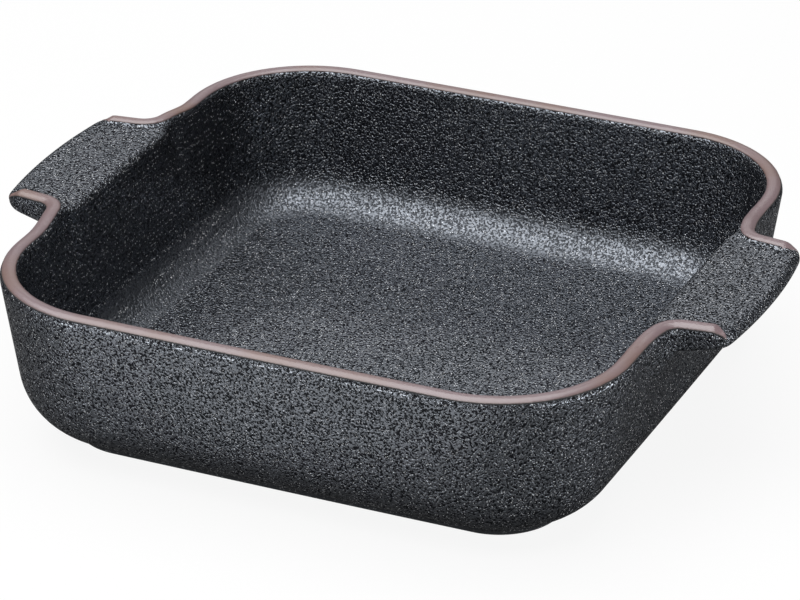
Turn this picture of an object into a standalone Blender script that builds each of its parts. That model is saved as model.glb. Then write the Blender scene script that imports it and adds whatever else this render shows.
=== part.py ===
"""Square stoneware baking dish with two lug handles, as a designer would script it.

The dish is one fired piece. It is modelled as the pieces that a potter forms and
joins: the walled body, a lug handle on each side, the coloured lip band in a front
and a rear run, and the turned foot under the floor. Metres, +Z up, handles along X.
The origin is on the table, under the middle of the dish.
"""
import math

import bmesh
import bpy

# Rim: the middle line of the rounded lip, seen from above.
HEIGHT = 0.070            # table to the crest of the lip on the handles, the highest
RIM_HALF_X = 0.120        # centre to the lip on a handle side
RIM_HALF_Y = 0.1208       # centre to the lip on the front and the rear side
CORNER_RADIUS = 0.0474    # the lip's plan radius at each corner
HANDLE_SIDE_BOW = 0.0006  # how far the handle sides bow outward
FRONT_SIDE_BOW = 0.0007   # how far the front and rear sides bow outward

# Wall, floor and foot.
LIP_RADIUS = 0.0036       # the lip is a full round, so the wall is twice this thick
DRAFT = math.radians(8.6)
BELLY_RADIUS = 0.027      # outer round from the wall to the foot
COVE_RADIUS = 0.019       # inner round from the wall to the floor
FLOOR_THICKNESS = 0.0082
FOOT_HEIGHT = 0.0046
FOOT_INSET = 0.0234       # lip line to the foot's resting edge
FOOT_SLANT = 0.003        # how far the foot spreads between table and wall
FOOT_WIDTH = 0.0085
FOOT_EDGE = 0.0009        # worn round on the foot's resting edges

# Coloured band on the lip.
BAND_WIDTH = 0.0054
BAND_HEIGHT = 0.00122
BAND_STEP = 0.00025       # upright edge where the band's glaze stops

# Lug handles. The lip leaves the wall, flares, and runs out along each handle's sides.
HANDLE_HALF_WIDTH = 0.0385  # middle of the handle to the lip line on its side
HANDLE_RISE = 0.0016        # how far the lip climbs along its flare to the handle
HANDLE_REACH = 0.0297       # lip line of the wall to the handle's outer end
HANDLE_FILLET = 0.0093      # lip line's plan radius where it turns into the handle
FLARE_LENGTH = 0.0182       # run along the wall in which the lip swings outward
FLARE_OUT = 0.0019          # how far it has swung where the fillet takes over
HANDLE_TAPER = math.radians(7.5)
HANDLE_END_RADIUS = 0.230   # plan radius of the handle's outer end
HANDLE_CORNER = 0.0075      # plan radius of its outer corners
HANDLE_DROP = 0.0023        # crest of the lip to the handle's dished top
DISH_COVE = 0.006           # width of the hollow that rises to the lip band
HANDLE_ROLL = 0.0027        # round of the top at the outer end
SEAT_ROLL = 0.003           # round where the handle's top rolls into the dish
TIP_THICKNESS = 0.0078      # crest to the underside at the outer end
ROOT_THICKNESS = 0.0126     # crest to the underside at the wall
UNDER_ROUND = 0.003         # round under the handle's edges
HANDLE_SIDE_LEAN = 0.0005   # how far the handle's side leans in toward its underside
FLARE_DROP = 0.018          # height below the handle in which the wall swells to meet it
BAND_TIP_GAP = 0.0046       # the lip band ends this far short of the handle's end
CLEARANCE = 0.0003          # gap between pieces that touch
ROOT_SHARES = (1.0, 0.833, 0.785, 0.738, 0.694, 0.45, 0.22, 0.0)  # mesh columns

# Sizes that follow from the ones above.
RIM_Z = HEIGHT - HANDLE_RISE
LIP_Z = RIM_Z - LIP_RADIUS
BAND_Z = RIM_Z - BAND_HEIGHT
LEDGE_Z = BAND_Z - CLEARANCE
LEDGE_HALF = math.sqrt(LIP_RADIUS ** 2 - (LEDGE_Z - LIP_Z) ** 2)
HANDLE_LIP_Z = LIP_Z + HANDLE_RISE
HANDLE_LEDGE_Z = LEDGE_Z + HANDLE_RISE
DISH_Z = HEIGHT - HANDLE_DROP
FLOOR_Z = FOOT_HEIGHT + FLOOR_THICKNESS
UNDER_ROOT_Z = HEIGHT - ROOT_THICKNESS
UNDER_TIP_Z = HEIGHT - TIP_THICKNESS
HANDLE_END_X = RIM_HALF_X + HANDLE_REACH
FILLET_X = RIM_HALF_X + FLARE_OUT + HANDLE_FILLET
FILLET_Y = HANDLE_HALF_WIDTH + HANDLE_FILLET
FLARE_Y = FILLET_Y + FLARE_LENGTH


def smooth(value):
    """Ease from 0 to 1 with level ends."""
    value = min(max(value, 0.0), 1.0)
    return value * value * (3.0 - 2.0 * value)


def mix(first, second, share):
    return first + (second - first) * share


def arc(centre, radius, start, end, count, outward=1.0):
    """Points on an arc, each with its normal: (x, y, nx, ny)."""
    points = []
    for step in range(count + 1):
        angle = mix(start, end, step / count)
        nx, ny = math.cos(angle), math.sin(angle)
        points.append((centre[0] + radius * nx, centre[1] + radius * ny,
                       nx * outward, ny * outward))
    return points


# Plan geometry


def bow_radius(half, bow):
    return (half * half + bow * bow) / (2.0 * bow)


def side_x(y):
    """The lip line's x on a handle side, before the flare."""
    radius = bow_radius(RIM_HALF_Y, HANDLE_SIDE_BOW)
    return RIM_HALF_X - radius + math.sqrt(radius * radius - y * y)


def corner_centre():
    """Centre of the corner arc that is tangent to both bowed sides."""
    side = bow_radius(RIM_HALF_Y, HANDLE_SIDE_BOW)
    front = bow_radius(RIM_HALF_X, FRONT_SIDE_BOW)
    x, y = RIM_HALF_X - CORNER_RADIUS, RIM_HALF_Y - CORNER_RADIUS
    for _ in range(40):
        x = RIM_HALF_X - side + math.sqrt((side - CORNER_RADIUS) ** 2 - y * y)
        y = RIM_HALF_Y - front + math.sqrt((front - CORNER_RADIUS) ** 2 - x * x)
    return x, y


def corner_angles():
    """Where the corner arc starts and ends, as angles about its centre."""
    x, y = corner_centre()
    side = RIM_HALF_X - bow_radius(RIM_HALF_Y, HANDLE_SIDE_BOW)
    front = RIM_HALF_Y - bow_radius(RIM_HALF_X, FRONT_SIDE_BOW)
    return math.atan2(y, x - side), math.atan2(y - front, x)


def corner_and_front(corner_steps, front_steps):
    """The lip line from the corner's start to the middle of the front side."""
    start, end = corner_angles()
    points = arc(corner_centre(), CORNER_RADIUS, start, end, corner_steps)
    radius = bow_radius(RIM_HALF_X, FRONT_SIDE_BOW)
    front = arc((0.0, RIM_HALF_Y - radius), radius, end, math.pi / 2, front_steps)
    return points + front[1:]


def flare_radius():
    """Radius of the flare: tangent to the side at FLARE_Y and to the handle's fillet."""
    across = FILLET_X - side_x(FLARE_Y)
    along = FLARE_Y - FILLET_Y
    total = across ** 2 + along ** 2 - HANDLE_FILLET ** 2
    return total / (2.0 * (across - HANDLE_FILLET))


def flare_end():
    """The point where the flare hands over to the fillet."""
    centre = side_x(FLARE_Y) + flare_radius()
    dx, dy = FILLET_X - centre, FILLET_Y - FLARE_Y
    length = math.hypot(dx, dy)
    return (FILLET_X + dx / length * HANDLE_FILLET,
            FILLET_Y + dy / length * HANDLE_FILLET)


FLARE_END_X, FLARE_END_Y = flare_end()
SEAT_X = FLARE_END_X + LIP_RADIUS


def flared_x(y):
    """The lip line's x on a handle side, with the flare; straight behind the handle."""
    if y >= FLARE_Y:
        return side_x(y)
    if y <= FLARE_END_Y:
        return FLARE_END_X
    radius = flare_radius()
    centre = side_x(FLARE_Y) + radius
    return centre - math.sqrt(radius ** 2 - (FLARE_Y - y) ** 2)


def lift(y):
    """How far the lip has climbed toward the handle at this distance along the side."""
    return HANDLE_RISE * smooth((FLARE_Y - abs(y)) / FLARE_LENGTH)


def taper_line(offset):
    """Start of the handle's side line, parallel to the lip line and outside it."""
    nx, ny = math.sin(HANDLE_TAPER), math.cos(HANDLE_TAPER)
    reach = HANDLE_FILLET - offset
    return FILLET_X - nx * reach, FILLET_Y - ny * reach


def band_tip_x():
    return HANDLE_END_X - HANDLE_END_RADIUS + math.sqrt(
        HANDLE_END_RADIUS ** 2 - HANDLE_HALF_WIDTH ** 2) - BAND_TIP_GAP


def band_quarter():
    """The lip band's line from the handle's tip to the middle of the front."""
    nx, ny = math.sin(HANDLE_TAPER), math.cos(HANDLE_TAPER)
    x, y = taper_line(0.0)
    points = []
    for step in range(3):
        tip = mix(band_tip_x(), x, step / 3)
        points.append((tip, y - (tip - x) * math.tan(HANDLE_TAPER), nx, ny))
    turn = math.atan2(FLARE_END_Y - FILLET_Y, FLARE_END_X - FILLET_X)
    points += arc((FILLET_X, FILLET_Y), HANDLE_FILLET,
                  -math.pi / 2 - HANDLE_TAPER, turn - (turn > 0) * 2 * math.pi, 7, -1.0)
    radius = flare_radius()
    centre = (side_x(FLARE_Y) + radius, FLARE_Y)
    swing = math.asin((FLARE_Y - FLARE_END_Y) / radius)
    points += arc(centre, radius, swing - math.pi, -math.pi, 4, -1.0)[1:]
    return points + corner_and_front(9, 4)


def distance_to_band(x, y):
    """Distance from a point in the first quarter to the lip band's line."""
    best = 1.0
    for a, b in zip(BAND_LINE, BAND_LINE[1:]):
        dx, dy = b[0] - a[0], b[1] - a[1]
        share = ((x - a[0]) * dx + (y - a[1]) * dy) / (dx * dx + dy * dy)
        share = min(max(share, 0.0), 1.0)
        best = min(best, math.hypot(x - a[0] - dx * share, y - a[1] - dy * share))
    return best


BAND_LINE = band_quarter()


def seat_height(x, y):
    """Height of the dished top of handle and wall, which rises to the lip band."""
    past = distance_to_band(x, abs(y)) - LEDGE_HALF
    share = min(max(1.0 - past / DISH_COVE, 0.0), 1.0)
    return mix(DISH_Z, HANDLE_LEDGE_Z, share * share)


def recess(z, top=LIP_Z):
    """How far the drafted wall has drawn in at this height, below its lip."""
    return max(0.0, top - z) * math.tan(DRAFT)


def full_turn(quarter):
    """Mirror a quarter, given from the X side to the Y side, into a closed loop."""
    second = [(-x, y, -nx, ny) for x, y, nx, ny in reversed(quarter[:-1])]
    half = quarter + second
    return half + [(-x, -y, -nx, -ny) for x, y, nx, ny in half[1:-1]]


def dish_stations():
    """Stations round the dish on the plain lip line, closer together at the handles."""
    radius = bow_radius(RIM_HALF_Y, HANDLE_SIDE_BOW)
    centre = RIM_HALF_X - radius
    edge = FLARE_END_Y - HANDLE_HALF_WIDTH
    marks = [0.0, 0.3, 0.58, 0.8]
    heights = [HANDLE_HALF_WIDTH * share for share in marks]
    heights += [HANDLE_HALF_WIDTH - edge * 0.45 + edge * step * 0.29 for step in range(6)]
    heights += [mix(FLARE_END_Y, FLARE_Y, share) for share in (0.2, 0.6, 1.0)]
    quarter = []
    for y in heights:
        x = side_x(y)
        quarter.append((x, y, (x - centre) / radius, y / radius))
    return full_turn(quarter + corner_and_front(9, 4))


# Wall section


def belly_arc(count):
    """Outer round from the foot's crease to the drafted wall, as (offset, z) points."""
    crease = (FOOT_SLANT - FOOT_INSET, FOOT_HEIGHT)
    nx, nz = math.cos(DRAFT), -math.sin(DRAFT)
    ox, oz = LIP_RADIUS - nx * BELLY_RADIUS, LIP_Z - nz * BELLY_RADIUS
    dx, dz = -math.sin(DRAFT), -math.cos(DRAFT)
    px, pz = ox - crease[0], oz - crease[1]
    half = px * dx + pz * dz
    root = half * half - (px * px + pz * pz - BELLY_RADIUS ** 2)
    along = -half - math.sqrt(max(root, 0.0))
    cx, cz = ox + dx * along, oz + dz * along
    start = math.atan2(crease[1] - cz, crease[0] - cx)
    points = []
    for step in range(count + 1):
        angle = mix(start, -DRAFT, step / count)
        points.append((cx + BELLY_RADIUS * math.cos(angle),
                       cz + BELLY_RADIUS * math.sin(angle)))
    return points


def cove_arc(count):
    """Inner round from the drafted wall to the floor, as (offset, z) points."""
    cz = FLOOR_Z + COVE_RADIUS
    top_z = cz - COVE_RADIUS * math.sin(DRAFT)
    cx = -LIP_RADIUS - recess(top_z) - COVE_RADIUS * math.cos(DRAFT)
    points = []
    for step in range(count + 1):
        angle = mix(-DRAFT, -math.pi / 2, step / count)
        points.append((cx + COVE_RADIUS * math.cos(angle),
                       cz + COVE_RADIUS * math.sin(angle)))
    return points


def lip_points(centre, up):
    """The lip's round with the flat ledge that carries the band, lifted by up."""
    edge = math.asin((LEDGE_Z - LIP_Z) / LIP_RADIUS)
    angles = [0.0, edge * 0.5, edge]
    angles += [math.pi - edge * share for share in (1.0, 0.68, 0.34, 0.0)]
    points = [(centre + LIP_RADIUS * math.cos(a), LIP_Z + up + LIP_RADIUS * math.sin(a))
              for a in angles]
    for drop in (SEAT_ROLL * 0.5, SEAT_ROLL):
        points.append((centre - LIP_RADIUS - drop * math.tan(DRAFT), LIP_Z + up - drop))
    return points


def seat_points(x, y):
    """The wall's top behind a handle: level with the handle, rolling into the dish."""
    outer = SEAT_X - x
    roll = SEAT_ROLL - LIP_RADIUS
    top = seat_height(SEAT_X, y)
    points = [(outer, HANDLE_LIP_Z), (outer, mix(HANDLE_LIP_Z, top, 0.5)), (outer, top)]
    for share in (1 / 3, 2 / 3):
        offset = mix(outer, roll, share)
        points.append((offset, seat_height(x + offset, y)))
    height = seat_height(x + roll, y)
    for angle in (0.0, math.pi / 6, math.pi / 3, math.pi / 2):
        points.append((roll - SEAT_ROLL * math.sin(angle),
                       height - SEAT_ROLL * (1.0 - math.cos(angle))))
    return points


def wall_section(x, y):
    """One station's section, from the foot's crease over the lip to the floor."""
    swell = flared_x(y) - side_x(y) if y < FLARE_Y else 0.0
    up = lift(y)
    handle = smooth((FLARE_END_Y + LIP_RADIUS * 0.5 - y) / (HANDLE_FILLET + LIP_RADIUS * 0.5))
    points = belly_arc(6)
    low = UNDER_ROOT_Z - FLARE_DROP
    for share in (0.0, 0.35, 0.7, 1.0):
        z = mix(low, UNDER_ROOT_Z, share)
        draw = recess(z, LIP_Z + up * smooth(share))
        points.append((LIP_RADIUS - draw + swell * smooth(share), z))
    lip = lip_points(swell, up)
    seat = seat_points(x, y) if handle > 0.0 else lip
    for a, b in zip(lip, seat):
        points.append((mix(a[0], b[0], handle), mix(a[1], b[1], handle)))
    inner = swell * (1.0 - handle)
    cove = cove_arc(7)
    last = points[-1][1]
    for share in (0.2, 0.45, 0.7):
        z = mix(last, cove[0][1], share)
        blend = 1.0 - smooth(share / 0.7)
        points.append((-LIP_RADIUS - recess(z, LIP_Z + up * blend) + inner * blend, z))
    return points + cove


# Mesh helpers


def add_loop(bm, points):
    """A closed loop of edges; returns its vertices in order."""
    verts = [bm.verts.new(point) for point in points]
    for index, vert in enumerate(verts):
        bm.edges.new((verts[index - 1], vert))
    return verts


def grow(bm, verts, points):
    """Extrude a closed loop of vertices and move the new ones to the given points."""
    edges = [bm.edges.get((verts[i - 1], verts[i])) for i in range(len(verts))]
    made = bmesh.ops.extrude_edge_only(bm, edges=edges)
    fresh = {item for item in made["geom"] if isinstance(item, bmesh.types.BMVert)}
    ring = []
    for vert, point in zip(verts, points):
        for edge in vert.link_edges:
            other = edge.other_vert(vert)
            if other in fresh:
                other.co = point
                ring.append(other)
    return ring


def cap(bm, verts):
    edges = [bm.edges.get((verts[i - 1], verts[i])) for i in range(len(verts))]
    bmesh.ops.contextual_create(bm, geom=edges)


def loft(bm, loops, closed=False):
    """Skin a list of closed loops; cap the two ends, or weld the last to the first."""
    first = ring = add_loop(bm, loops[0])
    for loop in loops[1:] + loops[:1] * closed:
        ring = grow(bm, ring, loop)
    if closed:
        bmesh.ops.remove_doubles(bm, verts=bm.verts, dist=1e-7)
    else:
        cap(bm, first)
        cap(bm, ring)


def make_material(name, colour, roughness):
    material = bpy.data.materials.new(name)
    material.use_nodes = True
    shader = material.node_tree.nodes["Principled BSDF"]
    shader.inputs["Base Color"].default_value = (*colour, 1.0)
    shader.inputs["Roughness"].default_value = roughness
    shader.inputs["Metallic"].default_value = 0.0
    material.diffuse_color = (*colour, 1.0)
    return material


def make_object(name, bm, material, sharp=35.0):
    """Finish a mesh: outward normals, smooth shading, its own material."""
    bmesh.ops.recalc_face_normals(bm, faces=bm.faces)
    mesh = bpy.data.meshes.new(name)
    bm.to_mesh(mesh)
    bm.free()
    mesh.shade_smooth()
    mesh.set_sharp_from_angle(angle=math.radians(sharp))
    mesh.materials.append(material)
    thing = bpy.data.objects.new(name, mesh)
    bpy.context.scene.collection.objects.link(thing)
    return thing


# The pieces


def build_body():
    """Walls, lip ledge, handle seats and floor, lofted ring by ring."""
    stations = dish_stations()
    sections = [wall_section(abs(x), abs(y)) for x, y, _, _ in stations]
    rings = []
    for level in range(len(sections[0])):
        ring = []
        for (x, y, nx, ny), section in zip(stations, sections):
            offset, z = section[level]
            ring.append((x + nx * offset, y + ny * offset, z))
        rings.append(ring)
    bm = bmesh.new()
    loft(bm, rings)
    return make_object("dish_body", bm, make_material("slate_glaze", (0.030, 0.034, 0.042), 0.42))


def build_foot():
    """A ring under the floor with a slanted outer side and a flat resting face."""
    top = FOOT_HEIGHT - CLEARANCE
    outer = -FOOT_INSET
    inner = outer - FOOT_WIDTH
    spread = FOOT_SLANT * (top / FOOT_HEIGHT)
    section = [(outer + spread, top), (outer + FOOT_SLANT * FOOT_EDGE / FOOT_HEIGHT, FOOT_EDGE),
               (outer - FOOT_EDGE * 0.3, FOOT_EDGE * 0.3), (outer - FOOT_EDGE, 0.0),
               (inner + FOOT_EDGE, 0.0), (inner, FOOT_EDGE), (inner - spread * 0.5, top)]
    quarter = []
    radius = bow_radius(RIM_HALF_Y, HANDLE_SIDE_BOW)
    start = corner_angles()[0]
    quarter += arc((RIM_HALF_X - radius, 0.0), radius, 0.0, start, 3)[:-1]
    stations = full_turn(quarter + corner_and_front(8, 3))
    loops = [[(x + nx * offset, y + ny * offset, z) for x, y, nx, ny in stations]
             for offset, z in section]
    bm = bmesh.new()
    loft(bm, loops, closed=True)
    return make_object("foot_ring", bm, make_material("foot_glaze", (0.060, 0.058, 0.056), 0.60))


def band_section():
    """Half-round of the lip band over its flat underside, as (offset, z) points."""
    half = BAND_WIDTH / 2
    rise = BAND_HEIGHT - BAND_STEP
    radius = (half * half + rise * rise) / (2 * rise)
    reach = math.asin(half / radius)
    points = [(-half, 0.0)]
    for step in range(7):
        angle = mix(-reach, reach, step / 6)
        points.append((radius * math.sin(angle),
                       BAND_STEP + rise - radius * (1.0 - math.cos(angle))))
    points.append((half, 0.0))
    return points


def band_path(side):
    """Stations of a whole band: (x, y, nx, ny, share), with shrinking round ends."""
    quarter = [(*point, 1.0) for point in BAND_LINE]
    x, y, nx, ny = BAND_LINE[0]
    for share in (0.45, 0.78, 0.95):
        step = BAND_WIDTH / 2 * share
        quarter.insert(0, (x + ny * step, y - nx * step, nx, ny, math.sqrt(1 - share ** 2)))
    mirrored = [(-x, y, -nx, ny, share) for x, y, nx, ny, share in reversed(quarter[:-1])]
    return [(x, y * side, nx, ny * side, share) for x, y, nx, ny, share in quarter + mirrored]


def build_band(name, side):
    """The coloured band, swept along the lip and out along both handles' sides."""
    section = band_section()
    loops = []
    for x, y, nx, ny, share in band_path(side):
        seat = BAND_Z + lift(y)
        loops.append([(x + nx * offset * share, y + ny * offset * share, seat + z * share)
                      for offset, z in section])
    bm = bmesh.new()
    loft(bm, loops)
    return make_object(name, bm, make_material(name + "_glaze", (0.310, 0.205, 0.200), 0.38))


def under_height(x):
    """The handle's flat underside, which falls toward the wall."""
    share = (x - SEAT_X) / (HANDLE_END_X - SEAT_X)
    return mix(UNDER_ROOT_Z, UNDER_TIP_Z, share)


def side_chain(inset, z):
    """The handle's edge from the wall along its fillet and side, set in by inset."""
    radius = HANDLE_FILLET - LIP_RADIUS + inset
    shift = recess(z, HANDLE_LIP_Z)
    root = SEAT_X + CLEARANCE
    start = math.pi + math.acos((FILLET_X - root) / radius)
    end = 1.5 * math.pi - HANDLE_TAPER
    points = [(x - shift, y) for x, y, _, _ in arc((FILLET_X, FILLET_Y), radius, start, end, 5)]
    x0, y0 = points[-1]
    x1, y1 = corner_start(inset)
    points.append((mix(x0, x1, 0.5), mix(y0, y1, 0.5)))
    return points


def handle_corner_centre():
    """Centre of the outer corner's arc, tangent to the side line and the end."""
    x, y = taper_line(LIP_RADIUS - HANDLE_CORNER)
    dx, dy = math.cos(HANDLE_TAPER), -math.sin(HANDLE_TAPER)
    px = x - (HANDLE_END_X - HANDLE_END_RADIUS)
    half = px * dx + y * dy
    reach = HANDLE_END_RADIUS - HANDLE_CORNER
    along = -half + math.sqrt(half * half - (px * px + y * y - reach * reach))
    return x + dx * along, y + dy * along


def corner_start(inset):
    x, y = handle_corner_centre()
    radius = HANDLE_CORNER - inset
    return x + radius * math.sin(HANDLE_TAPER), y + radius * math.cos(HANDLE_TAPER)


def end_chain(side_inset, end_inset, side_z, end_z):
    """The handle's outer corner and end, from the side line to the middle."""
    x, y = handle_corner_centre()
    centre = HANDLE_END_X - HANDLE_END_RADIUS
    start = math.pi / 2 - HANDLE_TAPER
    end = math.atan2(y, x - centre)
    points = []
    for step in range(5):
        share = smooth(step / 4)
        inset = mix(side_inset, end_inset, share)
        angle = mix(start, end, step / 4)
        reach = HANDLE_CORNER - inset
        points.append((x + reach * math.cos(angle), y + reach * math.sin(angle),
                       mix(side_z, end_z, share)))
    reach = HANDLE_END_RADIUS - end_inset
    for share in (0.93, 0.83, 0.53, 0.27, 0.0):
        angle = end * share
        points.append((centre + reach * math.cos(angle), reach * math.sin(angle), end_z))
    return points


def handle_levels():
    """Edge of the handle from top to underside: (side inset, side z, end inset, end z)."""
    edge = math.asin((LEDGE_Z - LIP_Z) / LIP_RADIUS)
    levels = []
    for side, end in ((1.0, 0.0), (0.5, 0.45), (0.0, 0.85)):
        a = edge * side
        b = math.pi / 2 * end
        levels.append((LIP_RADIUS * (1 - math.cos(a)), HANDLE_LIP_Z + LIP_RADIUS * math.sin(a),
                       HANDLE_ROLL * (1 - math.sin(b)), DISH_Z - HANDLE_ROLL * (1 - math.cos(b))))
    for angle in (0.0, math.pi / 6, math.pi / 3, math.pi / 2):
        inset = UNDER_ROUND * (1 - math.cos(angle))
        rise = UNDER_ROUND * (1 - math.sin(angle))
        levels.append((HANDLE_SIDE_LEAN + inset, rise, inset, rise))
    return levels


def handle_half(level, under):
    """Edge of one level from the wall to the middle of the handle's end."""
    side_inset, side_z, end_inset, end_z = level
    root_z = side_z + (UNDER_ROOT_Z if under else 0.0)
    half = [(x, y, side_z) for x, y in side_chain(side_inset, root_z)]
    half += end_chain(side_inset, end_inset, side_z, end_z)
    if under:
        half = [(x, y, z + under_height(x)) for x, y, z in half]
    return half


def handle_ring(level, under):
    """One closed loop round the handle; under says that z counts from the underside."""
    half = handle_half(level, under)
    x, y, z = half[0]
    root = []
    for share in ROOT_SHARES[1:]:
        top = seat_height(x, y * share)
        height = z if under or z <= HANDLE_LIP_Z else mix(top, HANDLE_LIP_Z, 0.5)
        root.append((x, y * share, height))
    back = [(px, -py, pz) for px, py, pz in root[:-1]]
    other = [(px, -py, pz) for px, py, pz in reversed(half[:-1])]
    return half + other + back + root[::-1]


def handle_top():
    """Grid of the dished top: rows from the wall to the end, columns from side to side."""
    half = handle_half(handle_levels()[0], False)
    corner = len(half) - len(ROOT_SHARES)
    side, end = half[:corner + 1], half[corner:]
    run = [0.0]
    for a, b in zip(side, side[1:]):
        run.append(run[-1] + math.hypot(b[0] - a[0], b[1] - a[1]))
    rows = []
    for (sx, sy, _), length in zip(side, run):
        v = length / run[-1]
        base_x, base_y = mix(side[0][0], end[0][0], v), mix(side[0][1], end[0][1], v)
        row = []
        for share, (ex, ey, _) in zip(ROOT_SHARES, end):
            x = mix(side[0][0], ex, v) + sx - base_x
            y = mix(side[0][1] * share, ey, v) + share * (sy - base_y)
            row.append((x, y, seat_height(x, y)))
        rows.append(row + [(x, -y, z) for x, y, z in reversed(row[:-1])])
    return rows


def build_handle(name, side):
    """A lug: dished top grid, rounded edges in rings, flat underside."""
    rows = handle_top()
    bm = bmesh.new()
    bmesh.ops.create_grid(bm, x_segments=len(rows[0]) - 1, y_segments=len(rows) - 1, size=1.0)
    bm.verts.ensure_lookup_table()
    flat = [point for row in rows for point in row]
    for vert, point in zip(bm.verts, flat):
        vert.co = point
    columns, count = len(rows[0]), len(flat)
    walk = list(range(0, count, columns)) + list(range(count - columns + 1, count))
    walk += list(range(count - 1 - columns, 0, -columns)) + list(range(columns - 2, 0, -1))
    ring = [bm.verts[index] for index in walk]
    for index, level in enumerate(handle_levels()[1:]):
        ring = grow(bm, ring, handle_ring(level, index >= 2))
    cap(bm, ring)
    bmesh.ops.scale(bm, vec=(side, 1.0, 1.0), verts=bm.verts)
    return make_object(name, bm, make_material(name + "_glaze", (0.030, 0.034, 0.042), 0.45))


def main():
    for thing in list(bpy.data.objects):
        bpy.data.objects.remove(thing, do_unlink=True)
    build_body()
    build_foot()
    build_handle("left_handle", -1.0)
    build_handle("right_handle", 1.0)
    build_band("front_rim_band", -1.0)
    build_band("rear_rim_band", 1.0)


main()
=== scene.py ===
"""Stoneware baking dish: finished pieces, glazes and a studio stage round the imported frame.

Laid out as a Blender add-on. The sizes and looks are properties in the sidebar, each
piece is made by an operator, and running the file calls the operators in order.
Everything is in metres in the frame's own axes: X along the handles, Z up.
"""
import math

import bmesh
import bpy
from mathutils import Matrix, Vector
from mathutils.bvhtree import BVHTree


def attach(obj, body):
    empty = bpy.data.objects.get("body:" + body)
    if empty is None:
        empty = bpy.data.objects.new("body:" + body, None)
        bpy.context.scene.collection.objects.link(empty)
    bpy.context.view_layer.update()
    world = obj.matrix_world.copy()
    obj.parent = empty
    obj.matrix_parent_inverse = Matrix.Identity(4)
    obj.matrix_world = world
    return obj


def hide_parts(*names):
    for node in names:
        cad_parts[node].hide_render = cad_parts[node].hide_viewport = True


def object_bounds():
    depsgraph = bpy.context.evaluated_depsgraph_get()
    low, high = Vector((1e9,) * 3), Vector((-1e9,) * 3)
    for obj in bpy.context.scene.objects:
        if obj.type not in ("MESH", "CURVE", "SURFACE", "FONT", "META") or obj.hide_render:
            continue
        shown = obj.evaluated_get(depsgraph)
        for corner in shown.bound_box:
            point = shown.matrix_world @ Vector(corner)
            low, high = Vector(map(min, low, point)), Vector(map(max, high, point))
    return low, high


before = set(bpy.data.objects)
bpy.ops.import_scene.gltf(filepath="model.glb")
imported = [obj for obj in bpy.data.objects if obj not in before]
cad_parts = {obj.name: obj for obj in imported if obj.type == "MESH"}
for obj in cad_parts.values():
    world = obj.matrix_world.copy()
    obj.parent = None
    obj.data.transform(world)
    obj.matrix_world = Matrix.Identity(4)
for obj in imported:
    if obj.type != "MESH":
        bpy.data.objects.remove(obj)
CAD_LOW, CAD_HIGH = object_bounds()

bl_info = {
    "name": "Stoneware baking dish",
    "version": (1, 0, 0),
    "blender": (4, 5, 0),
    "location": "3D View > Sidebar > Dish",
    "description": "Builds a glazed baking dish with two lug handles on its studio stage",
    "category": "Add Mesh",
}

MM = 0.001


# Properties


def length(name, description, default):
    return bpy.props.FloatProperty(name=name, description=description, default=default,
                                   precision=5, subtype="DISTANCE", unit="LENGTH")


def turn(name, description, degrees):
    return bpy.props.FloatProperty(name=name, description=description, subtype="ANGLE",
                                   default=math.radians(degrees), unit="ROTATION")


def amount(name, description, default):
    return bpy.props.FloatProperty(name=name, description=description, default=default,
                                   precision=4)


def colour(name, description, default):
    return bpy.props.FloatVectorProperty(name=name, description=description, size=3,
                                         default=default, subtype="COLOR", min=0.0, max=1.0)


class DishSizes(bpy.types.PropertyGroup):
    """Walls, lip, floor and foot."""

    height: length("Height", "Table to the crest of the lip on the handles", CAD_HIGH.z)
    rim_half_x: length("Rim half length", "Centre to the lip line on a handle side", 0.120)
    rim_half_y: length("Rim half width", "Centre to the lip line on the front side", 0.1208)
    corner: length("Corner radius", "Plan radius of the lip line at a corner", 0.0474)
    side_bow: length("Handle side bow", "How far a handle side bows outward", 0.0006)
    front_bow: length("Front side bow", "How far the front and rear bow outward", 0.0007)
    lip: length("Lip radius", "Half the thickness of the rounded lip", 0.0036)
    lip_crown: length("Lip crown", "Height of the bare lip's crown over its middle", 0.0034)
    draft: turn("Wall draft", "Lean of the walls", 8.6)
    belly: length("Belly radius", "Outer round from the wall to the foot", 0.027)
    cove: length("Cove radius", "Inner round from the wall to the floor", 0.019)
    floor: length("Floor thickness", "Thickness of the floor", 0.0082)
    foot_height: length("Foot height", "Height of the foot", 0.0046)
    foot_inset: length("Foot inset", "Lip line to the foot's resting edge", 0.0234)
    foot_slant: length("Foot slant", "How far the foot spreads up to the belly", 0.003)
    foot_width: length("Foot width", "Width of the foot ring", 0.0085)
    foot_edge: length("Foot edge", "Round on the foot's resting edges", 0.0011)


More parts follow.
